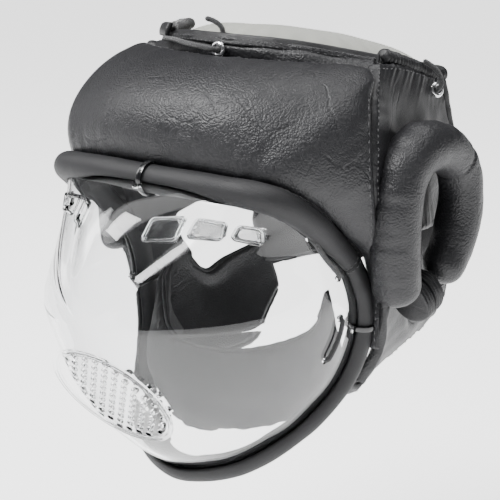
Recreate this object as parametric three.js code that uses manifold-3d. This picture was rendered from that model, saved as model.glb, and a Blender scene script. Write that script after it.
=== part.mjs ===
// Full-face boxing headgear with a clear domed face shield.
// Millimetres. +Z up, -Y is the way the wearer faces, +X is the wearer's left.
// The origin is the middle of the head cavity.
import * as THREE from "three";
import { mergeVertices } from "three/addons/utils/BufferGeometryUtils.js";
import Module from "manifold-3d";

const wasm = await Module();
wasm.setup();

// ---- driving dimensions -------------------------------------------------
const GAP = 0.4; // clearance between pieces that touch
const SLIVER = 0.05; // detail smaller than this is dropped from a cut piece
const SHIELD_WALL = 2.4;
const SHIELD_FRONT = -206; // foremost point of the dome, along Y
const SHIELD_FRONT_Z = -9;
const RIM_RADIUS = 8.3; // edging tube, outside
const TIE_WIDTH = 3.2;
const TIE_THICK = 1.3;
const MOUTH_CENTRE = [0, -182, -55.5];
const MOUTH_TILT = 34; // degrees that the flat breathing disc faces down
const MOUTH_RADIUS = 34; // outermost ring of breathing holes
const MOUTH_HOLE = 2.4;
const MOUTH_PITCH = 10;
const PANEL_THICK = 11; // padded leather panels
const LINING_THICK = 8;
const CUSHION_EDGE = 7;
const CHIN_THICK = 9;
const JAW_THICK = 7;
const LEATHER_THICK = 3;
const CORD_RADIUS = 1.6;
const EYELET_OUTER = 4.8;
const EYELET_INNER = 2.5;
const EAR_ARM_RADIUS = 15;
const EAR_WRAP_RADIUS = 14;
const FLAP_THICK = 4;

// ---- materials ----------------------------------------------------------
const standard = (color, roughness, metalness = 0) => () =>
  new THREE.MeshStandardMaterial({ color, roughness, metalness });
const leather = standard(0x2c2c30, 0.45);
const leatherDark = standard(0x1f1f22, 0.5);
const foam = standard(0x323234, 0.75);
const lining = standard(0x141416, 0.9);
const canvas = standard(0xb9b8ac, 0.85);
const tiePlastic = standard(0x0c0c0d, 0.25);
const cordFabric = standard(0x101010, 0.85);
const nickel = standard(0xd8d8dc, 0.2, 1);
const hookLoop = standard(0x101012, 0.95);
const clearPlastic = () =>
  new THREE.MeshStandardMaterial({ color: 0xf4f8fa, roughness: 0.05, transparent: true, opacity: 0.3 });

const object = new THREE.Group();

function addMesh(name, geometry, material) {
  const mesh = new THREE.Mesh(geometry, material());
  mesh.name = name;
  object.add(mesh);
  return mesh;
}

// ---- geometry helpers ---------------------------------------------------
const vec = ([x, y, z]) => new THREE.Vector3(x, y, z);
const mirrorPoint = ([x, y, z]) => [-x, y, z];
const mirrorRow = (row) => row.map(mirrorPoint);
const spline = (points, closed = false) => new THREE.CatmullRomCurve3(points.map(vec), closed, "catmullrom");
// A symmetrical row: the given half runs from the wearer's left to the middle.
const wholeRow = (half) => [...half, ...mirrorRow(half.slice(0, -1)).reverse()];

// Builds an indexed geometry, with its faces pointing out.
function closedGeometry(points, triangles) {
  const geometry = new THREE.BufferGeometry();
  const flat = points.flatMap((p) => [p.x, p.y, p.z]);
  let volume = 0;
  for (const [a, b, c] of triangles) {
    volume += points[a].dot(new THREE.Vector3().crossVectors(points[b], points[c]));
  }
  const index = triangles.flatMap(([a, b, c]) => (volume < 0 ? [a, c, b] : [a, b, c]));
  geometry.setAttribute("position", new THREE.Float32BufferAttribute(flat, 3));
  geometry.setIndex(index);
  geometry.computeVertexNormals();
  return geometry;
}

// Joins rings of equal length into one solid, capped at both ends or joined end to end.
function loft(rings, joined = false) {
  const count = rings[0].length;
  const points = rings.flat();
  const triangles = [];
  const steps = joined ? rings.length : rings.length - 1;
  for (let i = 0; i < steps; i++) {
    const next = (i + 1) % rings.length;
    for (let j = 0; j < count; j++) {
      const k = (j + 1) % count;
      triangles.push([i * count + j, i * count + k, next * count + k]);
      triangles.push([i * count + j, next * count + k, next * count + j]);
    }
  }
  if (!joined) {
    const last = (rings.length - 1) * count;
    const centre = (ring) => ring.reduce((sum, p) => sum.add(p), new THREE.Vector3()).divideScalar(count);
    points.push(centre(rings[0]), centre(rings[rings.length - 1]));
    for (let j = 0; j < count; j++) {
      const k = (j + 1) % count;
      triangles.push([points.length - 2, k, j]);
      triangles.push([points.length - 1, last + j, last + k]);
    }
  }
  return closedGeometry(points, triangles);
}

// A round bar along a curve; radius is a number or a function of the way along it.
function bar(curve, radius, sides, steps, closed = false) {
  const frames = curve.computeFrenetFrames(steps, closed);
  const radiusAt = typeof radius === "number" ? () => radius : radius;
  const rings = [];
  for (let i = 0; i < (closed ? steps : steps + 1); i++) {
    const at = i / steps;
    const centre = curve.getPointAt(at);
    const ring = [];
    for (let j = 0; j < sides; j++) {
      const angle = (j / sides) * 2 * Math.PI;
      const out = frames.normals[i].clone().multiplyScalar(Math.cos(angle) * radiusAt(at));
      out.addScaledVector(frames.binormals[i], Math.sin(angle) * radiusAt(at));
      ring.push(centre.clone().add(out));
    }
    rings.push(ring);
  }
  return loft(rings, closed);
}

// A closed slab between two grids of points. The triangles of one half mirror the other's.
function between(outer, inner) {
  const rows = outer.length;
  const columns = outer[0].length;
  const points = [...outer.flat(), ...inner.flat()];
  const half = rows * columns;
  const triangles = [];
  const quad = (a, b, c, d) => triangles.push([a, b, c], [a, c, d]);
  for (let i = 0; i < rows - 1; i++) {
    for (let j = 0; j < columns - 1; j++) {
      const corners = [0, 1, columns + 1, columns].map((step) => step + i * columns + j);
      if (j >= (columns - 1) / 2) corners.push(corners.shift());
      quad(...corners);
      quad(...corners.map((corner) => half + corner).reverse());
    }
  }
  for (let j = 0; j < columns - 1; j++) {
    const low = (rows - 1) * columns + j;
    quad(j, half + j, half + j + 1, j + 1);
    quad(low + 1, half + low + 1, half + low, low);
  }
  for (let i = 0; i < rows - 1; i++) {
    const left = i * columns;
    const right = left + columns - 1;
    quad(left + columns, half + left + columns, half + left, left);
    quad(right, half + right, half + right + columns, right + columns);
  }
  return closedGeometry(points, triangles);
}

// A slab between an outer grid of points and the same grid moved in by a thickness.
function slab(grid, thickness) {
  const rows = grid.length;
  const columns = grid[0].length;
  const inner = grid.map((row, i) => row.map((p, j) => {
    const across = grid[i][Math.min(j + 1, columns - 1)].clone().sub(grid[i][Math.max(j - 1, 0)]);
    const down = grid[Math.min(i + 1, rows - 1)][j].clone().sub(grid[Math.max(i - 1, 0)][j]);
    const normal = across.cross(down).normalize();
    if (normal.dot(p) > 0) normal.negate();
    return p.clone().addScaledVector(normal, thickness);
  }));
  return between(grid, inner);
}

// A grid of points on the smooth surface through rows of points.
function gridThrough(rows, across, down) {
  const curves = rows.map((row) => spline(row));
  const grid = [];
  for (let i = 0; i <= down; i++) {
    const row = [];
    for (let j = 0; j <= across; j++) {
      const column = spline(curves.map((curve) => curve.getPoint(j / across).toArray()));
      row.push(column.getPoint(i / down));
    }
    grid.push(row);
  }
  return grid;
}

// A padded panel lofted through rows of points, from its top row to its bottom row.
function panel(rows, thickness, across = 8, down = 6) {
  return slab(gridThrough(rows, across, down), thickness);
}

// The mirror image of a geometry, for the wearer's right side.
function mirrored(geometry) {
  const copy = geometry.clone();
  copy.scale(-1, 1, 1);
  const index = Array.from(copy.index.array);
  for (let i = 0; i < index.length; i += 3) [index[i + 1], index[i + 2]] = [index[i + 2], index[i + 1]];
  copy.setIndex(index);
  copy.computeVertexNormals();
  return copy;
}

// Adds a piece on the wearer's left and its mirror image on the right.
function addPair(name, geometry, material) {
  addMesh(name.replace("SIDE", "left"), geometry, material);
  addMesh(name.replace("SIDE", "right"), mirrored(geometry), material);
}

function solidOf(geometry) {
  const bare = geometry.clone();
  bare.deleteAttribute("normal");
  bare.deleteAttribute("uv");
  const merged = mergeVertices(bare, 1e-4);
  return new wasm.Manifold(new wasm.Mesh({
    numProp: 3,
    vertProperties: new Float32Array(merged.attributes.position.array),
    triVerts: new Uint32Array(merged.index.array),
  }));
}

// Cuts other pieces out of one; each cutter already includes the clearance.
function carve(geometry, cutters) {
  const solid = cutters.reduce((left, cutter) => left.subtract(cutter), solidOf(geometry));
  const parts = solid.decompose().sort((a, b) => b.volume() - a.volume());
  return geometryOf(parts[0]);
}

// A piece moved a little each way, to cut a clearance round it.
function shifted(solid, by = GAP) {
  const shifts = [[0, 0, 0], [by, 0, 0], [-by, 0, 0], [0, by, 0], [0, -by, 0], [0, 0, by], [0, 0, -by]];
  return shifts.map((shift) => solid.translate(shift));
}

function geometryOf(solid) {
  const mesh = solid.simplify(SLIVER).getMesh();
  const geometry = new THREE.BufferGeometry();
  geometry.setAttribute("position", new THREE.BufferAttribute(new Float32Array(mesh.vertProperties), 3));
  geometry.setIndex(new THREE.BufferAttribute(new Uint32Array(mesh.triVerts), 1));
  geometry.computeVertexNormals();
  return geometry;
}

// ---- face shield --------------------------------------------------------
// The rim runs round the face: over the brow, down both cheeks and under the chin.
const rimHalf = [
  [42, -143, 63.5], [73, -134, 60], [83, -112, 46], [84, -88, 27], [84, -66, 7],
  [84.5, -54, -22], [80, -55, -50], [72, -65, -73], [58, -86, -95], [34, -110, -113],
];
const rimCurve = spline([[0, -146, 64], ...rimHalf, [0, -122, -120], ...mirrorRow(rimHalf).reverse()], true);

// A point of the dome: along runs round the rim, up from the rim (0) to the foremost point (1).
function domePoint(along, up) {
  const rim = rimCurve.getPoint(along);
  const high = rim.z - SHIELD_FRONT_Z;
  const angle = Math.atan2(high, rim.x);
  const lift = Math.sin(angle);
  const corner = lift > 0 ? 1.05 * Math.sin(2 * angle) ** 2 : 0;
  const fullness = 2.2 + (lift > 0 ? -0.3 * lift : 0.9 * lift) - corner;
  const flare = 0.1 * Math.cos(angle) ** 2 * (1 - Math.max(0, lift));
  const turn = (up * Math.PI) / 2;
  // The tip is always round: the fullness of each meridian fades to an ellipse's there.
  const power = 2 + (fullness - 2) * Math.max(0, Math.cos(turn)) ** 0.8;
  const forward = Math.sin(turn) ** (2 / power);
  const spread = Math.max(0, Math.cos(turn)) ** (2 / power) * (1 + flare * Math.sin(Math.PI * forward ** 0.8));
  const point = new THREE.Vector3(
    rim.x * spread,
    rim.y + (SHIELD_FRONT - rim.y) * forward,
    SHIELD_FRONT_Z + high * spread,
  );
  const tilt = THREE.MathUtils.degToRad(MOUTH_TILT);
  const disc = new THREE.Vector3(0, -Math.cos(tilt), -Math.sin(tilt));
  const beyond = point.clone().sub(vec(MOUTH_CENTRE)).dot(disc);
  return point.addScaledVector(disc, -Math.max(0, beyond));
}

const DOME_ROUND = 36;
const DOME_LEVELS = [0.015, 0.07, 0.14, 0.23, 0.34, 0.47, 0.62, 0.79, 0.93];
const SLOT_LEVELS = [0.002, 0.07, 0.14, 0.23, 0.34, 0.47];

// One ring of points round the dome, moved outwards by a distance.
function domeRing(up, outwards) {
  const ring = [];
  for (let j = 0; j < DOME_ROUND; j++) {
    const along = j / DOME_ROUND;
    const p = domePoint(along, up);
    const aside = domePoint((along + 0.004) % 1, up).sub(domePoint((along + 0.996) % 1, up));
    const upward = domePoint(along, Math.min(up + 0.02, 1)).sub(domePoint(along, Math.max(up - 0.02, 0)));
    const normal = aside.cross(upward).normalize();
    if (normal.dot(p.clone().sub(new THREE.Vector3(0, -100, -20))) < 0) normal.negate();
    ring.push(p.addScaledVector(normal, outwards));
  }
  return ring;
}

// Joins outside rings (rim to tip) and inside rings (tip to rim), closing each tip with a fan.
function cup(outside, inside) {
  const count = outside[0].length;
  const outer = outside.flat();
  const points = [...outer, ...inside.flat()];
  const triangles = [];
  const strip = (a, b) => {
    for (let j = 0; j < count; j++) {
      const k = (j + 1) % count;
      triangles.push([a + j, a + k, b + k], [a + j, b + k, b + j]);
    }
  };
  for (let i = 0; i < outside.length - 1; i++) strip(i * count, (i + 1) * count);
  for (let i = 0; i < inside.length - 1; i++) {
    strip(outer.length + i * count, outer.length + (i + 1) * count);
  }
  strip(points.length - count, 0);
  const tip = (ring, first, reversed) => {
    const middle = ring.reduce((sum, p) => sum.add(p), new THREE.Vector3()).divideScalar(count);
    points.push(middle);
    for (let j = 0; j < count; j++) {
      const k = (j + 1) % count;
      const edge = reversed ? [first + k, first + j] : [first + j, first + k];
      triangles.push([points.length - 1, ...edge]);
    }
  };
  tip(outside[outside.length - 1], (outside.length - 1) * count, false);
  tip(inside[0], outer.length, true);
  return closedGeometry(points, triangles);
}

// The brow vents on the wearer's left, each by its corners as seen from the front (X, Z).
const VENTS = [
  [[22.5, 39.4], [36.4, 39.3], [36.4, 49.8], [23, 49.8]],
  [[41.5, 40.6], [57.5, 39.8], [57, 47.4], [42.3, 49]],
  [[61.2, 40], [71.5, 35], [70.8, 43.6], [62.8, 46.4]],
];
const VENT_DEPTH = 60;

function ventCutter(corners, side) {
  const shape = new THREE.Shape(corners.map(([x, z]) => new THREE.Vector2(side * x, z)));
  const geometry = new THREE.ExtrudeGeometry(shape, { depth: VENT_DEPTH, bevelEnabled: false });
  geometry.rotateX(Math.PI / 2);
  geometry.translate(0, -130, 0);
  return geometry;
}

// Breathing holes stand in a hexagonal grid inside the flat disc over the mouth.
function mouthHoles() {
  const cutters = [];
  const tilt = THREE.MathUtils.degToRad(MOUTH_TILT);
  const rowPitch = (MOUTH_PITCH * Math.sqrt(3)) / 2;
  const reach = Math.ceil(MOUTH_RADIUS / rowPitch);
  for (let row = -reach; row <= reach; row++) {
    for (let column = -reach; column <= reach; column++) {
      const across = (column + (row % 2 ? 0.5 : 0)) * MOUTH_PITCH;
      const up = row * rowPitch;
      if (Math.hypot(across, up) > MOUTH_RADIUS) continue;
      const hole = new THREE.CylinderGeometry(MOUTH_HOLE, MOUTH_HOLE, 16, 6);
      hole.translate(across, 0, up);
      hole.rotateX(tilt);
      hole.translate(...MOUTH_CENTRE);
      cutters.push(hole);
    }
  }
  return cutters;
}

// Ties sit round the tube, at these fractions of the way round the rim.
const tieSpots = [["tie_top", 0], ["tie_left", 0.286], ["tie_right", 0.714]];

function tieRing(at, grow = 0) {
  const centre = rimCurve.getPoint(at);
  const along = rimCurve.getTangent(at);
  const inside = RIM_RADIUS + 2 * GAP - grow;
  const outside = RIM_RADIUS + 2 * GAP + TIE_THICK + grow;
  const half = TIE_WIDTH / 2 + grow;
  const profile = [[inside, -half], [outside, -half], [outside, half], [inside, half], [inside, -half]];
  const ring = new THREE.LatheGeometry(profile.map(([r, h]) => new THREE.Vector2(r, h)), 14);
  const turn = new THREE.Quaternion().setFromUnitVectors(new THREE.Vector3(0, 1, 0), along);
  ring.applyQuaternion(turn);
  ring.translate(centre.x, centre.y, centre.z);
  return ring;
}

function buildShield() {
  const outside = DOME_LEVELS.map((up) => domeRing(up, 0));
  const inside = DOME_LEVELS.map((up) => domeRing(up, -SHIELD_WALL)).reverse();
  let shield = solidOf(cup(outside, inside));
  for (const side of [1, -1]) {
    for (const vent of VENTS) shield = shield.subtract(solidOf(ventCutter(vent, side)));
  }
  for (const hole of mouthHoles()) shield = shield.subtract(solidOf(hole));
  for (const [, at] of tieSpots) shield = shield.subtract(solidOf(tieRing(at, GAP)));
  addMesh("face_shield", geometryOf(shield), clearPlastic);
  return shield;
}

// The edging is foam tube, slit along its length and pushed over the shield's edge.
// It comes in two lengths, which meet at these fractions of the way round the rim.
const RIM_SIDES = 8;
const RIM_STEPS = 52;
const EDGING_JOINTS = [0.215, 0.87];

function jointCutter(at) {
  const centre = rimCurve.getPoint(at);
  const disc = new THREE.CylinderGeometry(RIM_RADIUS * 1.5, RIM_RADIUS * 1.5, GAP * 1.5, 12);
  const along = rimCurve.getTangent(at);
  disc.applyQuaternion(new THREE.Quaternion().setFromUnitVectors(new THREE.Vector3(0, 1, 0), along));
  disc.translate(centre.x, centre.y, centre.z);
  return disc;
}

function buildEdging(shield) {
  const slotOutside = SLOT_LEVELS.map((up) => domeRing(up, 2 * GAP));
  const slotInside = SLOT_LEVELS.map((up) => domeRing(up, -SHIELD_WALL - 2 * GAP)).reverse();
  let tube = solidOf(bar(rimCurve, RIM_RADIUS, RIM_SIDES, RIM_STEPS, true));
  tube = tube.subtract(solidOf(loft([...slotOutside, ...slotInside], true)));
  for (const cutter of shifted(shield, 1.5 * GAP)) tube = tube.subtract(cutter);
  for (const at of EDGING_JOINTS) tube = tube.subtract(solidOf(jointCutter(at)));
  const lengths = tube.decompose().sort((a, b) => b.volume() - a.volume());
  addMesh("edging_tube_lower", geometryOf(lengths[0]), foam);
  addMesh("edging_tube_upper", geometryOf(lengths[1]), foam);
  for (const [name, at] of tieSpots) addMesh(name, tieRing(at), tiePlastic);
}

// ---- lashings -----------------------------------------------------------
// Short cords outside the shield, each between two holes beside the rim on the wearer's left.
const LASHINGS = {
  upper: [[90.3, -109, 33.5], [92, -97.5, 21], [91.5, -83, 6.5]],
  lower: [[92.5, -84, -18], [91.5, -87, -31], [88, -92, -44]],
};

function buildLashings() {
  for (const [name, route] of Object.entries(LASHINGS)) {
    addMesh(`lashing_${name}`, bar(spline(route), CORD_RADIUS, 8, 6), cordFabric);
  }
}

// ---- forehead cushion ---------------------------------------------------
// Half rows from the bottom of the wearer's left cheek up to the middle of the brow.
const cushionSeam = [
  [95, -50, -46], [101, -62, 0], [107, -78, 45], [107, -82, 70], [98, -71, 104], [83, -49.5, 120],
  [45, -73, 124], [0, -82, 124],
];
const cushionFront = [
  [88.5, -50, -46], [91, -60, 8], [90, -83, 32], [86.5, -106, 52], [76, -124, 64.5], [60, -132.5, 67.5],
  [34, -136, 68], [0, -138, 68.5],
];
const cushionBulge = [0, 1, 4, 8, 14, 21, 25, 27]; // how far each station stands out between its seams

// One line across the cushion from side to side: v goes from the side seam to the front edge.
// A distance further carries the line on towards the front, or back past the seam if it is negative.
function cushionRow(v, further, riseAt) {
  return cushionSeam.map((seam, i) => {
    const face = vec(cushionFront[i]).sub(vec(seam));
    const point = vec(seam).addScaledVector(face, v + further / face.length());
    const out = new THREE.Vector3(point.x * 0.25, point.y + 30, 45 * (i / (cushionSeam.length - 1)));
    return point.addScaledVector(out.normalize(), riseAt(cushionBulge[i])).toArray();
  });
}

// Space that the edging tube and its ties take, with clearance.
function edgingSpace() {
  const reach = RIM_RADIUS + TIE_THICK + 4 * GAP;
  const space = solidOf(bar(rimCurve, RIM_RADIUS + 2 * GAP, RIM_SIDES, RIM_STEPS, true));
  return tieSpots.reduce((sum, [, at]) => {
    const disc = new THREE.CylinderGeometry(reach, reach, TIE_WIDTH + 3 * GAP, 12);
    const along = rimCurve.getTangent(at);
    disc.applyQuaternion(new THREE.Quaternion().setFromUnitVectors(new THREE.Vector3(0, 1, 0), along));
    disc.translate(...rimCurve.getPoint(at).toArray());
    return sum.add(solidOf(disc));
  }, space);
}

// The stuffed cushion, grown by a clearance on its faces and twice that past its edges.
function cushionGeometry(grow) {
  const across = [0, 0.25, 0.5, 0.75, 1];
  const further = [-2 * grow, 0, 0, 0, 2 * grow];
  const rowsAt = (riseAt) => across.map((v, i) => wholeRow(cushionRow(v, further[i], riseAt(v))));
  const outer = rowsAt((v) => (bulge) => bulge * Math.sin(Math.PI * v) ** 0.7 + grow);
  const inner = rowsAt(() => () => -CUSHION_EDGE - grow);
  return between(gridThrough(outer, 26, 6), gridThrough(inner, 26, 6));
}

const browRows = [
  [[70, -62, 96], [44, -88, 98], [0, -99, 99]],
  [[74, -70, 80], [46, -96, 80], [0, -107, 80]],
  [[74, -76, 64], [46, -100, 62], [0, -110, 60]],
];

function buildForehead() {
  const browGeometry = panel(browRows.map(wholeRow), LINING_THICK, 12, 3);
  const ears = [earSpace(), earSpace().mirror([1, 0, 0])];
  const clear = [edgingSpace(), ...ears, ...shifted(solidOf(browGeometry))];
  addMesh("forehead_cushion", carve(cushionGeometry(0), clear), leather);
  addMesh("brow_pad", browGeometry, lining);
}

// ---- crown --------------------------------------------------------------
const crownBand = [
  [[78, -34, 123.8], [44, -61, 131], [0, -77, 134]],
  [[83.5, -45.5, 122.5], [45, -70, 126.3], [0, -79, 126.5]],
];
// Path of the gathered casing round the sides and back of the crown opening.
const crownSide = [[79, -29, 126], [80, 5, 116], [76, 44, 105], [60, 75, 101], [34, 93, 99], [0, 101, 98]];
const crownEdge = [...crownSide.map(mirrorPoint), ...crownSide.slice(0, -1).reverse()];
const CASING_RADIUS = 3.6;
const LINER_BULGE = 15;
const LINER_THICK = 2;

function crownLiner() {
  const rings = [0.97, 0.8, 0.55, 0.28].map((reach) => {
    const ring = [];
    for (let i = 0; i < 28; i++) {
      const angle = (i / 28) * 2 * Math.PI;
      const x = 74 * Math.cos(angle) * reach;
      const y = 10 + 83 * Math.sin(angle) * reach;
      const plane = 137 - 40 * ((y + 78) / 178);
      ring.push(new THREE.Vector3(x, y, plane - 2 + LINER_BULGE * (1 - reach ** 4)));
    }
    return ring;
  });
  const low = rings.map((ring) => ring.map((p) => p.clone().setZ(p.z - LINER_THICK))).reverse();
  return cup(rings, low);
}

function buildCrown() {
  addMesh("crown_band", panel(crownBand.map(wholeRow), LEATHER_THICK, 16, 3), leather);
  const binding = wholeRow([[79, -33, 126.6], [44, -60, 134], [0, -75.6, 137]]);
  addMesh("crown_binding", bar(spline(binding), 2, 8, 12), leather);
  addMesh("crown_casing", bar(spline(crownEdge), CASING_RADIUS, 8, 26), leatherDark);
  addMesh("crown_liner", crownLiner(), canvas);
  const tab = panel([[[-72, -45, 136], [-57, -56, 139]], [[-74, -46, 128.5], [-58, -59, 130.5]]], 2, 3, 2);
  addMesh("crown_tab", tab, leatherDark);
}

// Eyelet rings lie flat on the leather, facing along out.
const EYELETS = {
  front: { at: [0, -82.2, 129.2], out: [0, -1, 0.1] },
  left: { at: [87.6, 25, 99.6], out: [1, 0, 0.3] },
  right: { at: [-87.6, 25, 99.6], out: [-1, 0, 0.3] },
};

function buildEyelets() {
  const half = 0.7;
  const profile = [
    [EYELET_INNER, -half], [EYELET_OUTER, -half], [EYELET_OUTER - 0.6, half], [EYELET_INNER, half],
    [EYELET_INNER, -half],
  ];
  for (const [name, { at, out }] of Object.entries(EYELETS)) {
    const ring = new THREE.LatheGeometry(profile.map(([r, h]) => new THREE.Vector2(r, h)), 16);
    const direction = vec(out).normalize();
    ring.applyQuaternion(new THREE.Quaternion().setFromUnitVectors(new THREE.Vector3(0, 1, 0), direction));
    ring.translate(...at);
    addMesh(`eyelet_${name}`, ring, nickel);
  }
}

// The drawcord comes out of the front eyelet and crosses to the casing on the wearer's right.
const DRAWCORD = {
  drawcord_front: [[0, -82.6, 129.2], [-3, -86.5, 130], [-20, -84, 131], [-38, -74.5, 131], [-54, -64, 129.5]],
  drawcord_end: [[-5, -70.2, 137.6], [-6.5, -70.5, 141], [-10, -72, 143.8], [-15.4, -74, 145.6]],
};
const DRAWCORD_SIDE = [[88.6, 25, 100], [91.4, 23, 106], [89.6, 19, 113], [84.6, 15, 118.5]];

function buildDrawcord() {
  for (const [name, route] of Object.entries(DRAWCORD)) {
    addMesh(name, bar(spline(route), CORD_RADIUS, 8, 10), cordFabric);
  }
  addPair("drawcord_SIDE", bar(spline(DRAWCORD_SIDE), CORD_RADIUS, 8, 8), cordFabric);
}

// ---- sides, jaw and chin ------------------------------------------------
// Rows run from the front seam to the back, on the wearer's left.
const sidePanel = [
  [[85, -43, 121], [83.5, -12, 116], [82, 16, 108.7], [79, 43, 100.8]],
  [[99, -68, 103], [94, -30, 96], [91, 8, 88], [84, 48, 82]],
  [[107.5, -80, 66], [102, -36, 58], [97, 8, 54], [86, 55, 50]],
  [[104, -70, 24], [101, -34, 20], [97, 8, 16], [86, 58, 14]],
];
const jawPanel = [
  [[100, -53, 2], [98, -38, 10], [95, -18, 10], [88, -8, -20], [83, 6, -42], [82, 32, -40], [77, 64, -33]],
  [[98, -45, -22], [94, -36, -24], [90, -22, -34], [85, -2, -50], [80, 14, -57], [78, 38, -50], [75, 67, -42]],
  [[94, -40, -44], [87, -34, -58], [76, -24, -70], [65, 0, -78], [64, 20, -75], [68, 42, -66], [69, 68, -57]],
  [[80, -39, -74], [70, -34, -84], [58, -20, -89], [53, 0, -88], [55, 22, -84], [61, 44, -77], [65, 67, -66]],
];
const cheekPad = [
  [[84, -78, 62], [82, -40, 64], [79, 0, 64], [76, 36, 62]],
  [[82, -76, 30], [82, -40, 34], [80, 0, 36], [76, 38, 34]],
  [[76, -68, 2], [80, -42, 6], [79, -6, 14], [76, 40, 16]],
];
const chinBand = [
  [[67, -60, -13], [59, -70, -38], [32, -96, -47], [0, -108.5, -47]],
  [[71, -52, -46], [66, -70, -62], [38, -104, -70], [0, -122, -70]],
  [[70, -40, -70], [60, -60, -88], [36, -90, -98], [0, -110, -100]],
];
const backPanel = [
  [[77, 48.5, 99.3], [60, 71.5, 96.2], [34, 89, 94.2], [2.5, 96.6, 93.3]],
  [[84, 60.5, 50], [68, 86, 50], [38, 106, 50], [2.5, 112, 50]],
  [[84, 63, 12], [66, 86, 10], [37, 104, 10], [2.5, 110, 10]],
  [[77, 68, -46], [61, 85, -44], [31, 102.5, -38], [2.5, 107, -35]],
];

function buildSides() {
  const edging = edgingSpace();
  const cushion = solidOf(cushionGeometry(3 * GAP));
  const ear = earSpace();
  const chin = solidOf(panel(chinBand.map(wholeRow), CHIN_THICK, 18, 4));
  const side = panel(sidePanel, PANEL_THICK, 8, 7);
  const jaw = panel(jawPanel, JAW_THICK, 12, 5);
  const cheek = panel(cheekPad, LINING_THICK, 6, 4);
  const back = panel(backPanel, PANEL_THICK, 7, 7);
  addPair("side_panel_SIDE", carve(side, [cushion, ear]), leatherDark);
  addPair("jaw_panel_SIDE", carve(jaw, [edging, ear, ...shifted(chin), ...shifted(solidOf(back))]), leather);
  addPair("cheek_pad_SIDE", carve(cheek, [edging]), lining);
  addPair("back_panel_SIDE", back, leatherDark);
  addMesh("chin_band", geometryOf(chin.subtract(edging)), leather);
}

// ---- rear closure -------------------------------------------------------
// Each flap is sewn to the wearer's left back panel and closes over the right one.
const closingFlap = [
  [[34, 104.2, 72], [0, 113, 72], [-42, 106.2, 72]],
  [[34, 113.8, 46], [0, 119.4, 46], [-43, 113.2, 46]],
  [[34, 110.6, 20], [0, 118, 20], [-43, 112, 20]],
];
const napeStrap = [
  [[34, 109.8, -6], [0, 117, -6], [-48, 107.5, -6]],
  [[34, 107, -30], [0, 114.6, -30], [-47, 105, -30]],
];

function buildClosures() {
  addMesh("closing_flap", panel(closingFlap, FLAP_THICK, 8, 4), leather);
  addMesh("nape_strap", panel(napeStrap, FLAP_THICK, 8, 2), leather);
}

// ---- ear guards ---------------------------------------------------------
// The arm starts low at the front, loops over the ear and comes down behind it.
const earArm = [
  [107.5, -52, -14], [109, -57, 8], [109, -60, 34], [109.5, -57, 60], [111, -42, 75], [113, -16, 73],
  [114, 5, 58], [114, 10, 34], [112.5, 2, 8], [110, -13, -9],
];
// The wraps follow one straight line from the arm's end towards its foot.
const WRAP_START = [108.6, -20, -12.5];
const WRAP_END = [106.4, -36, -17.5];
const WRAPS = [[0, 0.47], [0.53, 1]];

function armRadius(at) {
  const tips = Math.min(1, at / 0.04, (1 - at) / 0.03);
  return EAR_ARM_RADIUS * (0.93 + 0.12 * Math.sin(Math.PI * Math.min(at * 1.6, 1))) * (0.75 + 0.25 * tips);
}

const ARM_SIDES = 12;
const ARM_STEPS = 26;

// The space that an ear guard and its wraps take, with clearance.
function earSpace() {
  const arm = bar(spline(earArm), (at) => armRadius(at) + GAP, ARM_SIDES, ARM_STEPS);
  const wraps = bar(spline([WRAP_START, WRAP_END]), EAR_WRAP_RADIUS + GAP, ARM_SIDES, 2);
  return solidOf(arm).add(solidOf(wraps));
}

function buildEarGuards() {
  addPair("ear_guard_SIDE", bar(spline(earArm), armRadius, ARM_SIDES, ARM_STEPS), leather);
  WRAPS.forEach(([from, to], i) => {
    const part = [from, to].map((t) => vec(WRAP_START).lerp(vec(WRAP_END), t).toArray());
    addPair(`ear_wrap_SIDE_${i + 1}`, bar(spline(part), EAR_WRAP_RADIUS, ARM_SIDES, 1), leather);
  });
}

buildEdging(buildShield());
buildLashings();
buildForehead();
buildCrown();
buildEyelets();
buildDrawcord();
buildSides();
buildClosures();
buildEarGuards();

export default object;
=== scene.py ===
"""Boxing headgear with a clear domed face shield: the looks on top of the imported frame."""
import math
import bmesh
import bpy
import numpy as np
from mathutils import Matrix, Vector


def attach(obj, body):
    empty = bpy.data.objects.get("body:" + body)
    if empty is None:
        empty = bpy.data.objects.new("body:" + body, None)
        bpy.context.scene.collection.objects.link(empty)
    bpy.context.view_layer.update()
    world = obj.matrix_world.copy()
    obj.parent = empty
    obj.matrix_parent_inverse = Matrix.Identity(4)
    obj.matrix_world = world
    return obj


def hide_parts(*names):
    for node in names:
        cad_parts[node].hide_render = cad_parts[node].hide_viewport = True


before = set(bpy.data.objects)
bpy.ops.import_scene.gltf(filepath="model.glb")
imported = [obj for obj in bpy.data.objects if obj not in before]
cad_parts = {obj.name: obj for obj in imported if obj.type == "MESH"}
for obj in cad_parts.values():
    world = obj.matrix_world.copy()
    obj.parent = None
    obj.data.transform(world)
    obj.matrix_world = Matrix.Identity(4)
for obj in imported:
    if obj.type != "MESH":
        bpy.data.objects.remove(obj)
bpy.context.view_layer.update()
GUARD, FLAP, NAPE = "head_guard", "rear_flap", "nape_tab"

# ---- camera, light and floor ----------------------------------------------
AZIMUTH, ELEVATION, DISTANCE = math.radians(36), math.radians(16), 0.9
TARGET = Vector((0, -0.05, 0))
LIGHTS_AIM = Vector((0, -0.04, 0.02))
camera = bpy.data.objects.new("camera", bpy.data.cameras.new("camera"))
bpy.context.scene.collection.objects.link(camera)
back = Vector((math.sin(AZIMUTH) * math.cos(ELEVATION), -math.cos(AZIMUTH) * math.cos(ELEVATION),
               math.sin(ELEVATION)))
camera.location = TARGET + DISTANCE * back
camera.rotation_euler = (-back).to_track_quat("-Z", "Y").to_euler()
camera.data.sensor_width = 36
camera.data.lens = 103.68
bpy.context.scene.camera = camera


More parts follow.
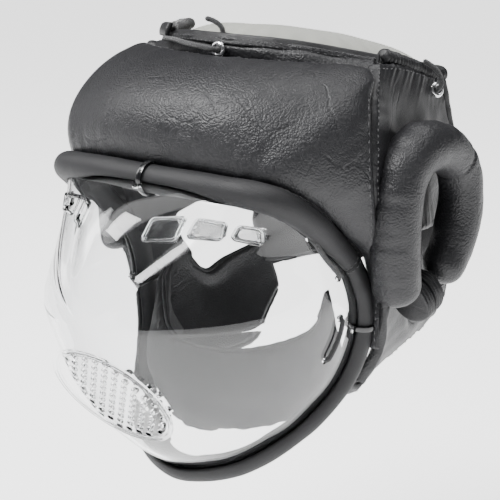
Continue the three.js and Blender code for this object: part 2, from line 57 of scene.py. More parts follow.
def area_light(name, place, power, width, height):
    light = bpy.data.lights.new(name, "AREA")
    light.shape, light.energy = "RECTANGLE", power
    light.size, light.size_y = width, height
    obj = bpy.data.objects.new(name, light)
    bpy.context.scene.collection.objects.link(obj)
    obj.location = place
    obj.rotation_euler = (LIGHTS_AIM - Vector(place)).to_track_quat("-Z", "Y").to_euler()


area_light("key_softbox", (-0.35, -0.85, 1.4), 46, 0.85, 0.55)
area_light("top_softbox", (0.2, 0.5, 1.5), 12, 0.8, 0.6)
area_light("right_softbox", (1.1, -0.1, 1.5), 6, 0.7, 0.7)
area_light("left_softbox", (-1.4, -0.5, 0.9), 12, 0.6, 1.0)
sky = bpy.data.lights.new("high_soft_light", "SUN")
sky.energy, sky.angle = 1.3, math.radians(50)
sky_lamp = bpy.data.objects.new("high_soft_light", sky)
bpy.context.scene.collection.objects.link(sky_lamp)
sky_lamp.rotation_euler = Vector((0.25, 0.3, -1)).to_track_quat("-Z", "Y").to_euler()

world = bpy.data.worlds.new("studio")
world.use_nodes = True
background = world.node_tree.nodes["Background"]
background.inputs["Color"].default_value = (0.95, 0.96, 0.98, 1)
background.inputs["Strength"].default_value = 0.16
bpy.context.scene.world = world

# ---- curves and surfaces, in millimetres ------------------------------------


def curve_at(points, t, closed=False):
    """Points of a Catmull-Rom curve through points, at each t from 0 to 1; points may be whole rows."""
    p = np.asarray(points, float)
    count = len(p)
    along = np.asarray(t, float) * (count if closed else count - 1)
    if closed:
        i = np.floor(along).astype(int)
        w = along - i
        before, a, b, after = p[(i - 1) % count], p[i % count], p[(i + 1) % count], p[(i + 2) % count]
    else:
        i = np.clip(np.floor(along).astype(int), 0, count - 2)
        w = along - i
        q = np.concatenate([2 * p[:1] - p[1:2], p, 2 * p[-1:] - p[-2:-1]])
        before, a, b, after = q[i], q[i + 1], q[i + 2], q[i + 3]
    w = w.reshape((-1,) + (1,) * (p.ndim - 1))
    m0, m1 = (b - before) / 2, (after - a) / 2
    return a + m0 * w + (-3 * a + 3 * b - 2 * m0 - m1) * w**2 + (2 * a - 2 * b + m0 + m1) * w**3


def mirror(points):
    return np.asarray(points, float) * [-1, 1, 1]


def whole(half):
    """A symmetrical row from its half, which runs from the wearer's left to the middle."""
    half = np.asarray(half, float)
    return np.concatenate([half, mirror(half[:-1])[::-1]])


def surface(rows, down, across):
    """A grid on the smooth surface through rows of points, spaced more closely towards its edges."""
    ease = lambda n: (lambda s: 0.6 * s + 0.4 * (1 - np.cos(np.pi * s)) / 2)(np.linspace(0, 1, n))
    lines = np.stack([curve_at(row, ease(across)) for row in rows])
    return curve_at(lines, ease(down))


def lengths(path):
    return np.concatenate([[0], np.cumsum(np.linalg.norm(np.diff(path, axis=0), axis=-1))])


def resample(path, step):
    """The path with points every step millimetres."""
    s = lengths(path)
    at = np.linspace(0, s[-1], max(2, int(round(s[-1] / step)) + 1))
    return np.stack([np.interp(at, s, path[:, k]) for k in range(3)], axis=1)


def unit(v):
    return v / np.maximum(np.linalg.norm(v, axis=-1, keepdims=True), 1e-9)


def turns(count):
    """Angles evenly spaced over a full turn."""
    return np.linspace(0, 2 * math.pi, count, endpoint=False)


def spokes(angle, a, b):
    """At each point of a path, where a and b are given, the directions at each angle from a towards b."""
    return np.cos(angle)[None, :, None] * a[:, None] + np.sin(angle)[None, :, None] * b[:, None]


def rounded_end(distance, radius):
    """The square of a quarter circle's height, from 0 at the end itself to 1 at radius from it."""
    return 1 - (1 - np.clip(distance / radius, 0, 1)) ** 2


def normals_of(grid):
    """Unit normals of a grid of points, facing away from the head."""
    n = unit(np.cross(np.gradient(grid, axis=1), np.gradient(grid, axis=0)))
    middle = grid[grid.shape[0] // 2, grid.shape[1] // 2]
    centre = np.array([0, 0, min(max(middle[2], -20), 60)])
    return n if np.dot(n[grid.shape[0] // 2, grid.shape[1] // 2], middle - centre) > 0 else -n


def ripple(points, size, seed):
    """Smooth noise, about -1 to 1, whose bumps are about size millimetres across."""
    rng = np.random.default_rng(seed)
    total = np.zeros(points.shape[:-1])
    for _ in range(9):
        direction = unit(rng.normal(size=3)) * rng.uniform(0.7, 1.5)
        total += np.sin(points @ direction * (2 * math.pi / size) + rng.uniform(0, 2 * math.pi))
    return total / 3.2


# ---- meshes ---------------------------------------------------------------


def add_piece(name, verts, faces, material, node=None, body=GUARD):
    """Makes a mesh object from millimetre points; it rides on body and stands for its CAD node."""
    mesh = bpy.data.meshes.new(name)
    mesh.from_pydata((np.asarray(verts) * 0.001).tolist(), [], [list(map(int, f)) for f in faces])
    mesh.validate()
    mesh.update()
    mesh.polygons.foreach_set("use_smooth", [True] * len(mesh.polygons))
    mesh.materials.append(material)
    obj = bpy.data.objects.new(name, mesh)
    bpy.context.scene.collection.objects.link(obj)
    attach(obj, body)
    if node:
        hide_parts(node)
    return obj


def strip_faces(rows, cols, first=0, wrap=False):
    i, j = np.meshgrid(np.arange(rows - 1), np.arange(cols if wrap else cols - 1), indexing="ij")
    a, k = i * cols + j + first, i * cols + (j + 1) % cols + first
    return np.stack([a, k, k + cols, a + cols], axis=-1).reshape(-1, 4)


def two_sides(outer, inner, wrap=False):
    """The vertices of two grids of one size, and the faces of the first and, turned over, of the second."""
    down, across = outer.shape[:2]
    verts = np.concatenate([outer.reshape(-1, 3), inner.reshape(-1, 3)])
    faces = [strip_faces(down, across, 0, wrap), strip_faces(down, across, down * across, wrap)[:, ::-1]]
    return verts, np.concatenate(faces).tolist()


def skins(outer, inner):
    """Vertices and faces of the closed solid between two grids of one size."""
    verts, faces = two_sides(outer, inner)
    down, across = outer.shape[:2]
    count = down * across
    places = np.arange(count).reshape(down, across)
    rim = [*places[0], *places[1:, -1], *places[-1, -2::-1], *places[-2:0:-1, 0]]
    faces += [[b, a, a + count, b + count] for a, b in zip(rim, rim[1:] + rim[:1])]
    return verts, faces


def loft(rings, capped=True):
    """Vertices and faces of a solid through rings of points."""
    rings = np.asarray(rings, float)
    steps, sides = rings.shape[:2]
    verts = rings.reshape(-1, 3)
    faces = strip_faces(steps, sides, wrap=True).tolist()
    if capped:
        faces.append(list(range(sides))[::-1])
        faces.append([(steps - 1) * sides + j for j in range(sides)])
    return verts, faces


def frames_along(path, closed=False):
    """Tangent, normal and binormal at each point, turned as little as possible along the way."""
    tangent = unit(np.gradient(path, axis=0))
    if closed:
        tangent = unit(np.roll(path, -1, axis=0) - np.roll(path, 1, axis=0))
    normal = np.zeros_like(path)
    normal[0] = unit(np.cross(tangent[0], [0.3, 0.2, 1.0]))
    for i in range(1, len(path)):
        normal[i] = unit(normal[i - 1] - np.dot(normal[i - 1], tangent[i]) * tangent[i])
    return tangent, normal, np.cross(tangent, normal)


def tube(path, radius, sides, flat=1.0, round_ends=True):
    """Rings of a round bar along a path; radius is a number or one for each point."""
    path = np.asarray(path, float)
    radius = np.broadcast_to(np.asarray(radius, float), (len(path),)).copy()
    if round_ends:
        s = lengths(path)
        rounding = rounded_end(np.minimum(s, s[-1] - s), np.maximum(radius, 1e-6))
        radius = radius * np.sqrt(np.clip(rounding, 0.02, 1))
    normal, binormal = frames_along(path)[1:]
    return path[:, None] + spokes(turns(sides), normal, flat * binormal) * radius[:, None, None]


def merge(parts):
    """Several (verts, faces) as one."""
    verts, faces, base = [], [], 0
    for v, f in parts:
        verts.append(np.asarray(v).reshape(-1, 3))
        faces.extend([[int(i) + base for i in face] for face in f])
        base += len(verts[-1])
    return np.concatenate(verts), faces


def stitches(path, out, length, pitch, radius):
    """Thread stitches laid along a path, each sunk at both ends; out points away from the surface."""
    fine = resample(path, 0.5)
    given, wanted = np.linspace(0, 1, len(out)), np.linspace(0, 1, len(fine))
    out_fine = np.stack([np.interp(wanted, given, out[:, k]) for k in range(3)], 1)
    total = lengths(fine)[-1]
    angle = turns(6)[:, None]
    along = np.linspace(-1, 1, 6)
    size = radius * np.sqrt(1 - 0.93 * along**2)
    height = 0.1 - 0.5 * along**2
    parts = []
    for k in range(int((total - length) / pitch) + 1):
        i = int((k * pitch + length / 2) / total * (len(fine) - 1))
        centre, ahead = fine[i], unit(fine[min(i + 2, len(fine) - 1)] - fine[max(i - 2, 0)])
        up = unit(out_fine[i] - np.dot(out_fine[i], ahead) * ahead)
        side = np.cross(ahead, up)
        rings = (centre + along[:, None, None] * length / 2 * ahead + height[:, None, None] * up
                 + size[:, None, None] * (np.cos(angle) * side + np.sin(angle) * up))
        parts.append(loft(rings))
    return merge(parts)


def sew(name, outer, normal, rows):
    """Stitches along rows of a panel's points, each row with its stitches' length, pitch and radius."""
    parts = [stitches(outer[row], normal[row], *sizes) for row, *sizes in rows]
    add_piece(name, *merge(parts), thread)


def padded_panel(rows, thick, edge, down, across, shape):
    """A stuffed panel: an outer and an inner skin that meet in rounded edges. Returns the outer grid too."""
    grid = surface(rows, down, across)
    normal = normals_of(grid)
    step_u = np.linalg.norm(np.diff(grid, axis=1), axis=2)
    step_v = np.linalg.norm(np.diff(grid, axis=0), axis=2)
    su = np.concatenate([np.zeros((down, 1)), np.cumsum(step_u, axis=1)], axis=1)
    sv = np.concatenate([np.zeros((1, across)), np.cumsum(step_v, axis=0)], axis=0)
    du = np.minimum(su, su[:, -1:] - su)
    dv = np.minimum(sv, sv[-1:] - sv)
    half = thick / 2 * np.sqrt(np.clip(rounded_end(np.minimum(du, dv), edge), 0, 1))
    middle = grid - normal * thick / 2
    swell = shape(middle, du, dv, su, sv) if shape else 0
    outer = middle + normal * (half + swell * (half > 0.05 * thick))[..., None]
    verts, faces = skins(outer, middle - normal * half[..., None])
    return verts, faces, outer, normal


def weld(obj):
    """Joins vertices that lie on each other, and turns all faces outwards."""
    bm = bmesh.new()
    bm.from_mesh(obj.data)
    bmesh.ops.remove_doubles(bm, verts=bm.verts, dist=0.00002)
    bmesh.ops.recalc_face_normals(bm, faces=bm.faces)
    bm.to_mesh(obj.data)
    bm.free()
    return obj


# ---- materials --------------------------------------------------------------


class Nodes:
    """A short way to write a node material: most calls add a node and return one of its outputs."""

    def __init__(self, name):
        self.material = bpy.data.materials.new(name)
        self.material.use_nodes = True
        self.tree = self.material.node_tree
        self.tree.nodes.clear()
        self.coords = self.add("ShaderNodeTexCoord").outputs["Object"]

    def add(self, kind, settings=(), **inputs):
        node = self.tree.nodes.new(kind)
        for key, value in dict(settings).items():
            setattr(node, key, value)
        for key, value in inputs.items():
            socket = node.inputs[key.replace("_", " ")]
            if isinstance(value, bpy.types.NodeSocket):
                self.tree.links.new(value, socket)
            else:
                socket.default_value = value
        return node

    def noise(self, scale, detail=3, roughness=0.55):
        return self.add("ShaderNodeTexNoise", Vector=self.coords, Scale=scale, Detail=detail,
                        Roughness=roughness).outputs["Fac"]

    def warped(self, scale, amount):
        """Object coordinates pushed about by noise."""
        noise = self.add("ShaderNodeTexNoise", Vector=self.coords, Scale=scale, Detail=2).outputs["Color"]
        centred = self.add("ShaderNodeVectorMath", {"operation": "SUBTRACT"})
        self.tree.links.new(noise, centred.inputs[0])
        centred.inputs[1].default_value = (0.5, 0.5, 0.5)
        moved = self.add("ShaderNodeVectorMath", {"operation": "MULTIPLY_ADD"})
        self.tree.links.new(centred.outputs[0], moved.inputs[0])
        moved.inputs[1].default_value = (amount, amount, amount)
        self.tree.links.new(self.coords, moved.inputs[2])
        return moved.outputs[0]

    def voronoi(self, scale, feature, coords):
        node = self.add("ShaderNodeTexVoronoi", {"feature": feature}, Vector=coords, Scale=scale)
        return node.outputs["Distance"]

    def ramp(self, value, stops):
        node = self.add("ShaderNodeValToRGB", Fac=value)
        elements = node.color_ramp.elements
        while len(elements) < len(stops):
            elements.new(0.5)
        for element, (at, colour) in zip(elements, stops):
            element.position = at
            element.color = (*colour, 1) if hasattr(colour, "__len__") else (colour, colour, colour, 1)
        return node.outputs["Color"]

    def math(self, operation, a, b):
        node = self.add("ShaderNodeMath", {"operation": operation})
        for socket, value in zip(node.inputs, (a, b)):
            if isinstance(value, bpy.types.NodeSocket):
                self.tree.links.new(value, socket)
            else:
                socket.default_value = value
        return node.outputs[0]

    def bump(self, height, distance, strength=1.0, under=None):
        node = self.add("ShaderNodeBump", Height=height, Distance=distance, Strength=strength)
        if under is not None:
            self.tree.links.new(under, node.inputs["Normal"])
        return node.outputs[0]

    def spread(self, value, low, high):
        """A value from 0 to 1, brought to between low and high."""
        return self.add("ShaderNodeMapRange", Value=value, To_Min=low, To_Max=high).outputs[0]

    def finish(self, **inputs):
        shader = self.add("ShaderNodeBsdfPrincipled", **inputs)
        out = self.add("ShaderNodeOutputMaterial")
        self.tree.links.new(shader.outputs[0], out.inputs["Surface"])
        return self.material


def leather_material(name, dark, light, grain, grain_depth, crease_depth, rough):
    """Coated leather: pebble grain and long broken creases, with a painted highlight on the high spots of the
    grain and painted shade in the creases.
    """
    n = Nodes(name)
    warp = n.warped(26, 0.045)
    near = n.warped(110, 0.006)
    long_creases = n.ramp(n.voronoi(20, "DISTANCE_TO_EDGE", warp), [(0.0, 0.0), (0.025, 1.0)])
    short_creases = n.ramp(n.voronoi(48, "DISTANCE_TO_EDGE", near), [(0.0, 0.0), (0.05, 1.0)])
    broken = n.ramp(n.noise(18, 2), [(0.52, 1.0), (0.7, 0.0)])
    broken_short = n.ramp(n.noise(34, 2), [(0.54, 1.0), (0.7, 0.0)])
    creases = n.math("MULTIPLY", n.math("MAXIMUM", long_creases, broken),
                     n.math("MAXIMUM", short_creases, broken_short))
    pebbles = n.ramp(n.voronoi(grain, "F1", near), [(0.15, 1.0), (0.85, 0.0)])
    fine = n.noise(grain * 2.2, 3, 0.6)
    normal = n.bump(n.noise(30, 2), 0.004, 0.25)
    normal = n.bump(creases, crease_depth, 0.8, normal)
    normal = n.bump(n.math("ADD", pebbles, n.math("MULTIPLY", fine, 0.35)), grain_depth, 0.9, normal)
    # painted highlight: the colour is lighter on the high spots of the pebble grain
    tone_and_grain_highlight = n.math("ADD", n.math("MULTIPLY", pebbles, 0.35), n.math("MULTIPLY", n.noise(9, 3), 0.65))
    # painted shade: the colour is up to 15 per cent darker in the creases
    colour = n.ramp(n.math("MULTIPLY", tone_and_grain_highlight, n.math("ADD", n.math("MULTIPLY", creases, 0.15), 0.85)),
                    [(0.15, dark), (0.85, light)])
    shine = n.spread(n.noise(55, 4, 0.6), rough - 0.08, rough + 0.12)
    return n.finish(Base_Color=colour, Roughness=shine, Normal=normal, Specular_IOR_Level=0.42)


def fabric_material(name, dark, light, scale, depth, rough, sheen):
    """Woven cloth, from two crossing waves of thread."""
    n = Nodes(name)
    warp = n.warped(200, 0.0006)
    threads = []
    for turn in ((0, 0, math.radians(45)), (math.radians(70), 0, math.radians(-45))):
        mapping = n.add("ShaderNodeMapping", Vector=warp, Rotation=turn).outputs[0]
        wave = n.add("ShaderNodeTexWave", Vector=mapping, Scale=scale, Distortion=0.6, Detail=1.0)
        threads.append(wave.outputs["Fac"])
    weave = n.math("MAXIMUM", *threads)
    fuzz = n.noise(scale * 3, 4, 0.7)
    normal = n.bump(n.math("ADD", weave, n.math("MULTIPLY", fuzz, 0.4)), depth, 0.8,
                    n.bump(n.noise(45, 3), 0.002, 0.3))
    colour = n.ramp(n.math("ADD", n.math("MULTIPLY", weave, 0.5), n.math("MULTIPLY", n.noise(30, 4), 0.5)),
                    [(0.2, dark), (0.8, light)])
    shine = n.spread(fuzz, rough - 0.08, rough + 0.05)
    return n.finish(Base_Color=colour, Roughness=shine, Normal=normal, Sheen_Weight=sheen,
                    Sheen_Roughness=0.5)


def foam_material():
    """Closed-cell foam tube: matt, with fine cells, scuffs and faint draw lines."""
    n = Nodes("edging_foam")
    cells = n.voronoi(1500, "F1", n.warped(300, 0.001))
    scuffs = n.noise(70, 5, 0.7)
    normal = n.bump(n.math("ADD", cells, scuffs), 0.00022, 0.7, n.bump(n.noise(26, 3), 0.003, 0.25))
    colour = n.ramp(n.math("ADD", n.math("MULTIPLY", scuffs, 0.7), n.math("MULTIPLY", cells, 0.3)),
                    [(0.25, (0.0075, 0.0075, 0.0085)), (0.75, (0.0135, 0.0135, 0.015))])
    shine = n.spread(scuffs, 0.5, 0.72)
    return n.finish(Base_Color=colour, Roughness=shine, Normal=normal, Specular_IOR_Level=0.4)


def tie_material():
    n = Nodes("tie_plastic")
    flow = n.noise(220, 3)
    colour = n.ramp(flow, [(0.3, (0.004, 0.004, 0.005)), (0.7, (0.012, 0.012, 0.013))])
    return n.finish(Base_Color=colour, Roughness=n.spread(flow, 0.1, 0.28), Normal=n.bump(flow, 0.0003, 0.4),
                    Coat_Weight=0.3, Coat_Roughness=0.08)


def nickel_material():
    n = Nodes("bright_nickel")
    brushed = n.noise(420, 4, 0.6)
    colour = n.ramp(brushed, [(0.3, (0.62, 0.62, 0.64)), (0.7, (0.86, 0.86, 0.87))])
    return n.finish(Base_Color=colour, Metallic=1.0, Roughness=n.spread(n.noise(160, 3), 0.1, 0.26),
                    Normal=n.bump(brushed, 0.0001, 0.4))


def clear_material():
    """Clear moulded plastic, with faint haze and draw marks."""
    n = Nodes("clear_shell")
    haze = n.ramp(n.noise(24, 4, 0.6), [(0.35, 0.0), (0.8, 0.035)])
    normal = n.bump(n.noise(14, 2, 0.4), 0.0012, 0.12)
    return n.finish(Base_Color=(0.985, 0.99, 0.995, 1), Roughness=haze, Normal=normal,
                    Transmission_Weight=1.0, IOR=1.45, Specular_IOR_Level=0.4)


grain_leather = leather_material("grain_leather", (0.006, 0.006, 0.0072), (0.0145, 0.0145, 0.0165),
                                 760, 0.00024, 0.0004, 0.44)
smooth_leather = leather_material("smooth_leather", (0.004, 0.004, 0.005), (0.0105, 0.0105, 0.012),
                                  1300, 0.0001, 0.0003, 0.45)
lining_cloth = fabric_material("lining", (0.005, 0.005, 0.006), (0.012, 0.012, 0.0135),
                               900, 0.00012, 0.8, 0.02)
liner_cloth = fabric_material("liner_cloth", (0.25, 0.255, 0.225), (0.38, 0.385, 0.345),
                              1100, 0.00012, 0.7, 0.35)
cord_cloth = fabric_material("cord", (0.005, 0.005, 0.006), (0.022, 0.022, 0.024), 1500, 0.0003, 0.8, 0.3)
thread = fabric_material("thread", (0.035, 0.035, 0.037), (0.085, 0.085, 0.088), 2600, 0.0001, 0.6, 0.1)
hook_loop = fabric_material("hook_and_loop", (0.002, 0.002, 0.002), (0.014, 0.014, 0.015),
                            1800, 0.0012, 0.95, 0.5)
foam, tie_plastic, nickel, clear = foam_material(), tie_material(), nickel_material(), clear_material()

# ---- the rim and the dome ----------------------------------------------------
RIM_HALF = [(42, -143, 63.5), (73, -134, 60), (83, -112, 46), (84, -88, 27), (84, -66, 7), (84.5, -54, -22),
            (80, -55, -50), (72, -65, -73), (58, -86, -95), (34, -110, -113)]
RIM = np.array([(0, -146, 64), *RIM_HALF, (0, -122, -120), *mirror(RIM_HALF)[::-1]], float)
RIM_RADIUS, BORE, SLIT, WALL = 8.3, 3.8, 1.45, 2.4  # the tube, its bore, half its slit, the shell
DOME_MIDDLE = np.array([0, -90, -20])
FRONT_Y, FRONT_Z = -206, -9
EASE = 3  # over this distance each way, the dome eases into the flat breathing disc
DISC_CENTRE = np.array([0, -182, -55.5])
DISC_TILT = math.radians(34)
DISC_OUT = np.array([0, -math.cos(DISC_TILT), -math.sin(DISC_TILT)])
DISC_UP = np.array([0, -math.sin(DISC_TILT), math.cos(DISC_TILT)])


def dome_points(along, up):
    """The dome's outside: along runs round the rim, up from the rim (0) to the foremost point (1)."""
    rim = curve_at(RIM, np.mod(along, 1), closed=True)
    high = rim[..., 2] - FRONT_Z
    angle = np.arctan2(high, rim[..., 0])
    lift = np.sin(angle)
    corner = np.where(lift > 0, 1.05 * np.sin(2 * angle) ** 2, 0)
    full = 2.2 + np.where(lift > 0, -0.3, 0.9) * lift - corner
    flare = 0.1 * np.cos(angle) ** 2 * (1 - np.maximum(0, lift))
    cos, sin = np.maximum(0, np.cos(up * math.pi / 2)), np.sin(up * math.pi / 2)
    power = 2 + (full - 2) * cos**0.8
    forward = sin ** (2 / power)
    spread = cos ** (2 / power) * (1 + flare * np.sin(math.pi * forward**0.8))
    depth = rim[..., 1] + (FRONT_Y - rim[..., 1]) * forward
    p = np.stack([rim[..., 0] * spread, depth, FRONT_Z + high * spread], axis=-1)
    beyond = (p - DISC_CENTRE) @ DISC_OUT
    eased = np.where(beyond < EASE, (beyond + EASE) ** 2 / (4 * EASE), beyond)
    return p - np.where(beyond > -EASE, eased, 0)[..., None] * DISC_OUT


def dome_grid(ups, around):
    """Points of the dome's outside, and its outward normals there."""
    along = np.linspace(0, 1, around, endpoint=False)
    a, u = np.meshgrid(along, ups)
    grid = dome_points(a.ravel(), u.ravel()).reshape(len(ups), around, 3)
    aside = np.roll(grid, -1, axis=1) - np.roll(grid, 1, axis=1)
    n = unit(np.cross(aside, np.gradient(grid, axis=0)))
    n[-1] = [0, -1, 0]
    outward = grid - DOME_MIDDLE
    flip = np.sign(np.sum(n * outward, axis=-1, keepdims=True))
    return grid, n * np.where(flip == 0, 1, flip)


def solid_object(name, verts, faces):
    mesh = bpy.data.meshes.new(name)
    mesh.from_pydata((np.asarray(verts) * 0.001).tolist(), [], [list(map(int, f)) for f in faces])
    mesh.update()
    obj = bpy.data.objects.new(name, mesh)
    bpy.context.scene.collection.objects.link(obj)
    return obj


def subtract(obj, cutters):
    """Cuts closed solids out of a piece, and removes them."""
    cutter = solid_object("cutter", *merge(cutters))
    modifier = obj.modifiers.new("cut", "BOOLEAN")
    modifier.object, modifier.solver = cutter, "MANIFOLD"
    graph = bpy.context.evaluated_depsgraph_get()
    cut = bpy.data.meshes.new_from_object(obj.evaluated_get(graph))
    obj.modifiers.clear()
    obj.data = cut
    bpy.data.objects.remove(cutter)


def prism(outline, direction, depth):
    """A closed solid from an outline swept both ways along a direction."""
    outline = np.asarray(outline, float)
    return loft(np.stack([outline - depth * direction, outline + depth * direction]))


def circle(centre, out, radius, sides=20):
    side = unit(np.cross(out, [0.1, 0.2, 1.0]))
    up = np.cross(out, side)
    a = turns(sides)[:, None]
    return centre + radius * (np.cos(a) * side + np.sin(a) * up)


def rounded(corners, radius, steps=5):
    """A closed outline with its corners rounded."""
    corners = np.asarray(corners, float)
    points = []
    for i, c in enumerate(corners):
        a, b = corners[i - 1] - c, corners[(i + 1) % len(corners)] - c
        start, end = c + unit(a) * radius, c + unit(b) * radius
        for t in np.linspace(0, 1, steps):
            points.append((1 - t) ** 2 * start + 2 * t * (1 - t) * c + t**2 * end)
    return np.array(points)


VENTS = [[(22.5, 39.4), (36.4, 39.3), (36.4, 49.8), (23, 49.8)],
         [(41.5, 40.6), (57.5, 39.8), (57, 47.4), (42.3, 49)],
         [(61.2, 40), (71.5, 35), (70.8, 43.6), (62.8, 46.4)]]
LASHINGS = {"upper": [(90.3, -109, 33.5), (92, -97.5, 21), (91.5, -83, 6.5)],
            "lower": [(92.5, -84, -18), (91.5, -87, -31), (88, -92, -44)]}
# How far round the rim the ties and the tube's joints are, from its top towards the wearer's left.
TIES = {"tie_top": 0.0, "tie_left": 0.286, "tie_right": 0.714}
TUBE_JOINTS = 0.215, 0.87
DISC_HOLE_PITCH, DISC_HOLES_WITHIN = 7.4, 34.5
DISC_HOLE, LASHING_HOLE, TIE_HOLE = 2.2, 2.3, 2.9
TIE_HOLE_FROM_RIM = 10.6

ups = np.concatenate([np.linspace(0.012, 0.2, 26, endpoint=False), np.linspace(0.2, 0.965, 84),
                      [0.985, 0.997]])
dome_out, dome_normal = dome_grid(ups, 320)
dome_spots = dome_out[:, ::2].reshape(-1, 3)
spot_normals = dome_normal[:, ::2].reshape(-1, 3)


def on_dome(point):
    """The nearest point of the dome's outside, and the way it faces there."""
    i = np.argmin(np.sum((dome_spots - point) ** 2, axis=1))
    n = spot_normals[i]
    return point - np.dot(point - dome_spots[i], n) * n, n


def dome_hit(point):
    """Where a line along Y through point meets the outside of the dome's front."""
    d = np.hypot(dome_spots[:, 0] - point[0], dome_spots[:, 2] - point[2])
    near = np.argsort(d)[:40]
    i = near[np.argmin(dome_spots[near, 1])]
    p, n = dome_spots[i], spot_normals[i]
    y = p[1] - (n[0] * (point[0] - p[0]) + n[2] * (point[2] - p[2])) / (n[1] if abs(n[1]) > 0.2 else -0.2)
    return np.array([point[0], y, point[2]])


def rim_frame(t):
    """Part or parts of the way round the rim: centre, the way the shell leaves it, across that, tangent."""
    at = np.atleast_1d(np.asarray(t, float))
    centre = curve_at(RIM, np.mod(at, 1), closed=True)
    ahead = curve_at(RIM, np.mod(at + 0.002, 1), closed=True)
    behind = curve_at(RIM, np.mod(at - 0.002, 1), closed=True)
    tangent = unit(ahead - behind)
    leave = dome_points(at, np.full(at.shape, 0.055)) - centre
    leave = unit(leave - np.sum(leave * tangent, -1, keepdims=True) * tangent)
    across = np.cross(tangent, leave)
    across = across * np.sign(np.sum(across * (centre - DOME_MIDDLE), -1, keepdims=True))
    leave = unit(leave * 8 - across * WALL / 2)
    across = unit(across - np.sum(across * leave, -1, keepdims=True) * leave)
    result = (centre, leave, across, tangent)
    return tuple(x[0] for x in result) if np.ndim(t) == 0 else result


def vent_outlines():
    """The vents' outlines on both sides, in a plane ahead of the dome."""
    return [rounded([(side * x, -160, z) for x, z in vent], 2) for side in (1, -1) for vent in VENTS]


def dome_cutters():
    """Closed solids of the vents, the disc's holes, and the holes for the lashings and the ties."""
    cutters = [prism(outline, np.array([0, 1.0, 0]), 45) for outline in vent_outlines()]
    row_pitch = DISC_HOLE_PITCH * math.sqrt(3) / 2
    for row in range(-5, 6):
        for column in range(-5, 6):
            across, up = (column + (0.5 if row % 2 else 0)) * DISC_HOLE_PITCH, row * row_pitch
            if math.hypot(across, up) < DISC_HOLES_WITHIN:
                centre = DISC_CENTRE + across * np.array([1, 0, 0]) + up * DISC_UP
                cutters.append(prism(circle(centre, DISC_OUT, DISC_HOLE, 28), DISC_OUT, 7))
    for route in LASHINGS.values():
        for end in (route[0], route[-1]):
            centre, n = on_dome(np.array(end, float))
            cutters.append(prism(circle(centre, n, LASHING_HOLE), n, 6))
    for at in TIES.values():
        rim, leave = rim_frame(at)[:2]
        centre, n = on_dome(rim + leave * TIE_HOLE_FROM_RIM)
        cutters.append(prism(circle(centre, n, TIE_HOLE), n, 6))
    return cutters


def build_lips():
    """Moulded beads round each vent and round the breathing disc."""
    lips = []
    for outline in vent_outlines():
        lips.append(np.array([spot + 0.2 * n for spot, n in (on_dome(dome_hit(p)) for p in outline)]))
    for radius in (38.8, 36.4):
        lips.append(circle(DISC_CENTRE - 0.2 * DISC_OUT, DISC_OUT, radius, 96))
    parts = []
    for path in lips:
        rings = path[:, None] + spokes(turns(10), *frames_along(path, closed=True)[1:])
        parts.append(loft(np.concatenate([rings, rings[:1]]), capped=False))
    weld(add_piece("shield_moulded_lips", *merge(parts), clear))


def build_dome():
    """The clear shell: an outer and an inner skin, joined along the rim, with its holes cut."""
    rows, cols = dome_out.shape[:2]
    verts, faces = two_sides(dome_out, dome_out - WALL * dome_normal, wrap=True)
    count = rows * cols
    faces += [[j, j + count, (j + 1) % cols + count, (j + 1) % cols] for j in range(cols)]
    last = (rows - 1) * cols
    faces += [[last + j for j in range(cols)], [last + count + j for j in range(cols)][::-1]]
    shield = weld(add_piece("face_shield_clear", verts, faces, clear, "face_shield"))
    subtract(shield, dome_cutters())
    shield.data.polygons.foreach_set("use_smooth", [True] * len(shield.data.polygons))
    shield.data.set_sharp_from_angle(angle=math.radians(38))


def build_edging():
    """Foam tube, slit along its length for the shell's edge, in two lengths that meet butt to butt."""
    outer_gap, inner_gap = math.asin(SLIT / RIM_RADIUS), math.asin(SLIT / BORE)
    outer = np.linspace(outer_gap + 0.1, 2 * math.pi - outer_gap - 0.1, 44)
    inner = np.linspace(2 * math.pi - inner_gap, inner_gap, 16)
    angles = np.concatenate([outer, [2 * math.pi - outer_gap], inner, [outer_gap]])
    radii = np.array([RIM_RADIUS] * 44 + [RIM_RADIUS - 0.7] + [BORE] * 16 + [RIM_RADIUS - 0.7])
    left, right = TUBE_JOINTS
    for name, start, end in (("edging_tube_upper", right, left + 1), ("edging_tube_lower", left, right)):
        centre, leave, across = rim_frame(np.linspace(start, end, int((end - start) * 620)))[:3]
        s = lengths(centre)
        rounding = 0.6 * np.clip(1 - np.minimum(s, s[-1] - s) / 0.8, 0, 1) ** 2
        slack = 1 + 0.022 * ripple(centre, 46, 3) + 0.012 * ripple(centre, 17, 4)
        r = radii[None, :] * slack[:, None] - rounding[:, None] * (radii[None, :] > BORE + 1)
        rings = centre[:, None] + spokes(angles, leave, across) * r[..., None]
        add_piece(name + "_foam", *loft(rings), foam, name)
    seams = []
    for at in TUBE_JOINTS:
        for side in (-1, 1):
            centre, leave, across = rim_frame(at + side * 0.0032)[:3]
            a = np.linspace(0.35, 2 * math.pi - 0.35, 60)[:, None]
            out = np.cos(a) * leave + np.sin(a) * across
            seams.append(stitches(centre + (RIM_RADIUS + 0.05) * out, out, 2.2, 3.4, 0.3))
    add_piece("edging_joint_stitches", *merge(seams), thread)


